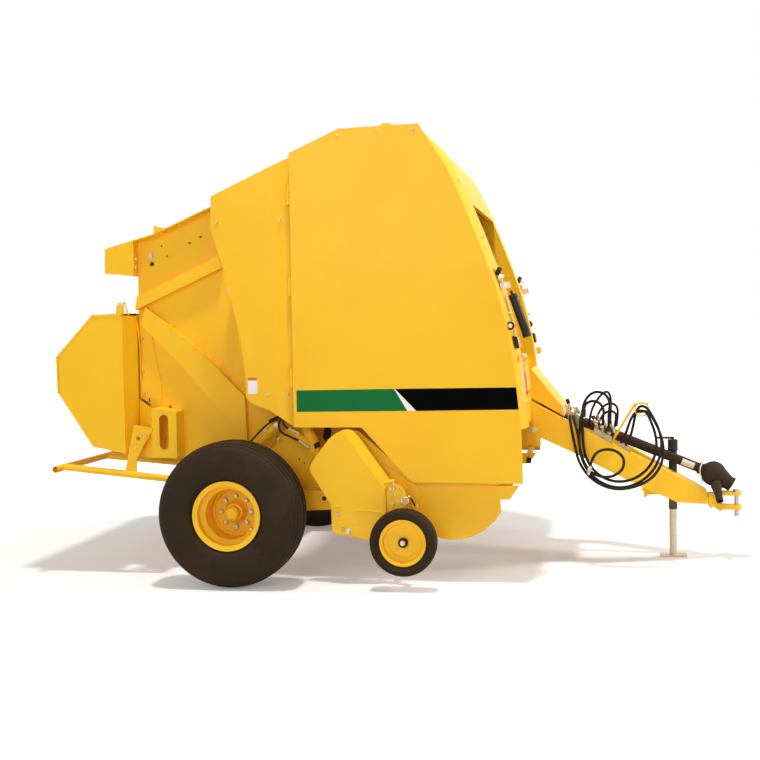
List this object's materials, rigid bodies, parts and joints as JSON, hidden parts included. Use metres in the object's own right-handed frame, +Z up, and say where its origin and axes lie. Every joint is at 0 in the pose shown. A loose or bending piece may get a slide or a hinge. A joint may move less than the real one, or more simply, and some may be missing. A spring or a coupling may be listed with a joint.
{
  "type": "towed round baler",
  "caption": "Towed round baler with a wide tined pickup, hinged side covers, lifting tailgate, wrap box, drawbar, driveline and jack.",
  "frame": {"origin": "on the ground, below the centre of the machine's box", "axes": "+X forward to the hitch, +Y to the machine's left, +Z up"},
  "size_m": [4.68, 2.79, 2.976],
  "materials": {
    "yellow_paint": "semi-gloss enamel",
    "black_paint": "semi-gloss",
    "tyre": "matt",
    "steel": "worn",
    "zinc": "zinc plated",
    "black_plastic": "matt",
    "hose": "matt"
  },
  "bodies": {
    "chassis": {"main_frame": "yellow_paint", "chamber_wall_right": "yellow_paint", "chamber_wall_left": "yellow_paint", "hood": "yellow_paint", "rear_cover_right": "yellow_paint", "rear_cover_left": "yellow_paint", "front_rolls": "steel", "drawbar": "yellow_paint", "clevis": "yellow_paint", "hitch_pin": "steel", "jack_mast": "black_paint", "gearbox": "black_paint", "gearbox_guard": "yellow_paint", "hose_stand": "yellow_paint", "front_belts": "hose", "valve_blocks": "steel", "hose_outer": "hose", "hose_inner": "hose", "hose_third": "hose", "hose_small": "hose", "coupler_third": "steel", "coupler_small": "steel", "tension_cylinder": "black_paint"},
    "tailgate": {"tail_frame": "yellow_paint", "tail_rolls": "steel", "tail_belts": "hose", "top_belts": "hose", "wrap_box": "yellow_paint", "bumper": "yellow_paint"},
    "wrap_lid": {"wrap_lid": "yellow_paint"},
    "cover_right": {"side_cover_right": "yellow_paint"},
    "cover_left": {"side_cover_left": "yellow_paint"},
    "wheel_right": {"wheel_right": "yellow_paint", "tyre_right": "tyre"},
    "wheel_left": {"wheel_left": "yellow_paint", "tyre_left": "tyre"},
    "pickup": {"pick_frame": "yellow_paint", "stripper_bands": "yellow_paint", "gauge_arms": "yellow_paint", "pick_shield_right": "yellow_paint", "pick_shield_left": "yellow_paint"},
    "reel": {"reel": "steel"},
    "gauge_right": {"gauge_wheel_right": "yellow_paint", "gauge_tyre_right": "tyre"},
    "gauge_left": {"gauge_wheel_left": "yellow_paint", "gauge_tyre_left": "tyre"},
    "lift_barrel_right": {"lift_barrel_right": "yellow_paint"},
    "lift_rod_right": {"lift_rod_right": "steel"},
    "lift_barrel_left": {"lift_barrel_left": "yellow_paint"},
    "lift_rod_left": {"lift_rod_left": "steel"},
    "jack_leg": {"jack_leg": "zinc"},
    "driveline": {"driveline": "black_plastic"},
    "yoke": {"yoke": "black_paint"}
  },
  "joints": [
    {"name": "wheel_right_spin", "type": "hinge", "parent": "chassis", "child": "wheel_right", "pos_m": [-1, -1.205, 0.478], "axis": [0, 1, 0], "continuous": true},
    {"name": "wheel_left_spin", "type": "hinge", "parent": "chassis", "child": "wheel_left", "pos_m": [-1, 1.205, 0.478], "axis": [0, 1, 0], "continuous": true},
    {"name": "tailgate_lift", "type": "hinge", "parent": "chassis", "child": "tailgate", "pos_m": [-0.5, 0, 2.62], "axis": [0, 1, 0], "range_deg": [0, 60]},
    {"name": "wrap_lid_hinge", "type": "hinge", "parent": "tailgate", "child": "wrap_lid", "pos_m": [-2.3, 0, 1.238], "axis": [0, -1, 0], "range_deg": [0, 100]},
    {"name": "cover_right_hinge", "type": "hinge", "parent": "chassis", "child": "cover_right", "pos_m": [-0.63, -1.04, 1.95], "axis": [0, 0, -1], "range_deg": [0, 95]},
    {"name": "cover_left_hinge", "type": "hinge", "parent": "chassis", "child": "cover_left", "pos_m": [-0.63, 1.04, 1.95], "axis": [0, 0, 1], "range_deg": [0, 95]},
    {"name": "pickup_lift", "type": "hinge", "parent": "chassis", "child": "pickup", "pos_m": [-0.3, 0, 0.93], "axis": [0, 1, 0], "range_deg": [0, 12]},
    {"name": "reel_spin", "type": "hinge", "parent": "pickup", "child": "reel", "pos_m": [0.4, 0, 0.6], "axis": [0, 1, 0], "continuous": true},
    {"name": "gauge_right_spin", "type": "hinge", "parent": "pickup", "child": "gauge_right", "pos_m": [0.139, -1.265, 0.312], "axis": [0, 1, 0], "continuous": true},
    {"name": "gauge_left_spin", "type": "hinge", "parent": "pickup", "child": "gauge_left", "pos_m": [0.139, 1.265, 0.312], "axis": [0, 1, 0], "continuous": true},
    {"name": "lift_barrel_right_pivot", "type": "hinge", "parent": "chassis", "child": "lift_barrel_right", "pos_m": [-0.48, -0.905, 0.84], "axis": [0, 1, 0], "range_deg": [-1, 6]},
    {"name": "lift_rod_right_slide", "type": "slide", "parent": "lift_barrel_right", "child": "lift_rod_right", "axis": [-0.4568, 0, 0.8896], "range_m": [0, 0.87]},
    {"name": "lift_barrel_left_pivot", "type": "hinge", "parent": "chassis", "child": "lift_barrel_left", "pos_m": [-0.48, 0.905, 0.84], "axis": [0, 1, 0], "range_deg": [-1, 6]},
    {"name": "lift_rod_left_slide", "type": "slide", "parent": "lift_barrel_left", "child": "lift_rod_left", "axis": [-0.4568, 0, 0.8896], "range_m": [0, 0.87]},
    {"name": "jack_slide", "type": "slide", "parent": "chassis", "child": "jack_leg", "axis": [0, 0, 1], "range_m": [0, 0.3]},
    {"name": "driveline_tilt", "type": "hinge", "parent": "chassis", "child": "driveline", "pos_m": [1.19, 0, 0.996], "axis": [0, -1, 0], "range_deg": [0, 20]},
    {"name": "yoke_spin", "type": "hinge", "parent": "driveline", "child": "yoke", "pos_m": [2.1487, 0, 0.60489], "axis": [0.1333, -0.645, -0.7525], "continuous": true}
  ],
  "couplings": [
    {"joint": "lift_barrel_right_pivot", "follows": "tailgate_lift", "ratio": 0.04483},
    {"joint": "lift_rod_right_slide", "follows": "tailgate_lift", "m_per_rad": 0.82456},
    {"joint": "lift_barrel_left_pivot", "follows": "tailgate_lift", "ratio": 0.04483},
    {"joint": "lift_rod_left_slide", "follows": "tailgate_lift", "m_per_rad": 0.82456}
  ]
}
